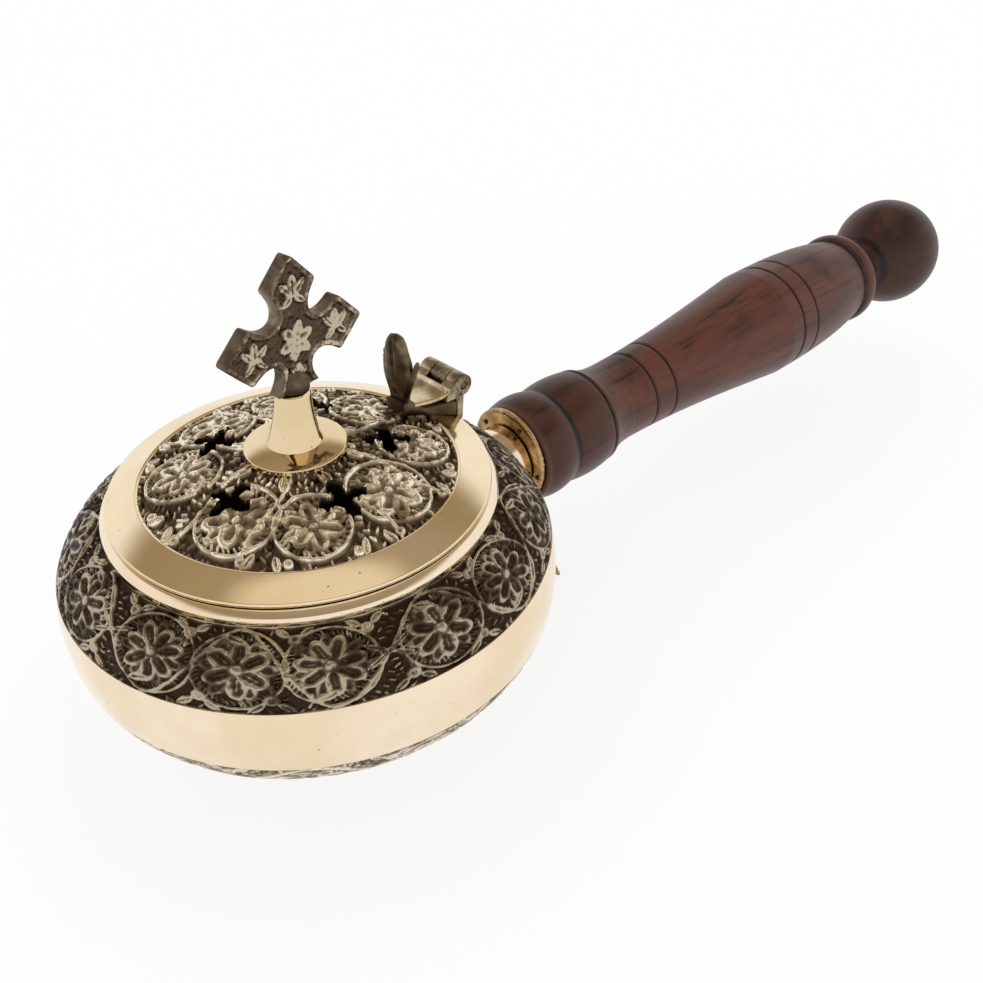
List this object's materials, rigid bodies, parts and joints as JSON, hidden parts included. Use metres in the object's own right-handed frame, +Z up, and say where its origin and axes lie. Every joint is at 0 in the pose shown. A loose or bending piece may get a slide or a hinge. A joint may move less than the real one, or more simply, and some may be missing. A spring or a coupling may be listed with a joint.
{
  "type": "hand censer",
  "caption": "Brass incense bowl with a relief-cast shoulder, a pierced hinged lid with a cross and thumb leaf, a turned wooden handle and a strap leg.",
  "frame": {"origin": "centre of the flat foot of the bowl, on the surface that the censer stands on", "axes": "+Z up through the bowl and the cross; +X along the handle, from the bowl to the ball at its end; the hinge's axis is along Y, turned 1.3 degrees about Z"},
  "size_m": [0.2893, 0.1028, 0.1078],
  "materials": {
    "polished_brass": "polished, with blackened relief",
    "cast_brass": "as cast, lightly rubbed",
    "aged_brass": "dark patina, rubbed on the edges",
    "dark_wood": "stained and waxed, satin",
    "steel": "plain turned steel"
  },
  "bodies": {
    "bowl_and_handle": {"bowl": "polished_brass", "handle_socket": "polished_brass", "hinge_lug": "cast_brass", "leg_plate": "cast_brass", "hinge_pin": "steel", "handle_screw": "steel", "screw_washer": "steel", "wooden_handle": "dark_wood", "plate_pin_1": "cast_brass", "plate_pin_2": "cast_brass", "plate_pin_3": "cast_brass", "plate_pin_4": "cast_brass", "plate_pin_5": "cast_brass"},
    "lid_and_cross": {"lid": "polished_brass", "thumb_leaf": "aged_brass", "lid_hinge_plate": "cast_brass", "finial_stem": "polished_brass", "cross": "aged_brass", "finial_washer": "cast_brass", "finial_nut": "cast_brass"}
  },
  "joints": [
    {"name": "lid_hinge", "type": "hinge", "parent": "bowl_and_handle", "child": "lid_and_cross", "pos_m": [0.03969, 0.0009, 0.0674], "axis": [-0.0227, 0.9997, 0], "range_deg": [0, 151]}
  ]
}
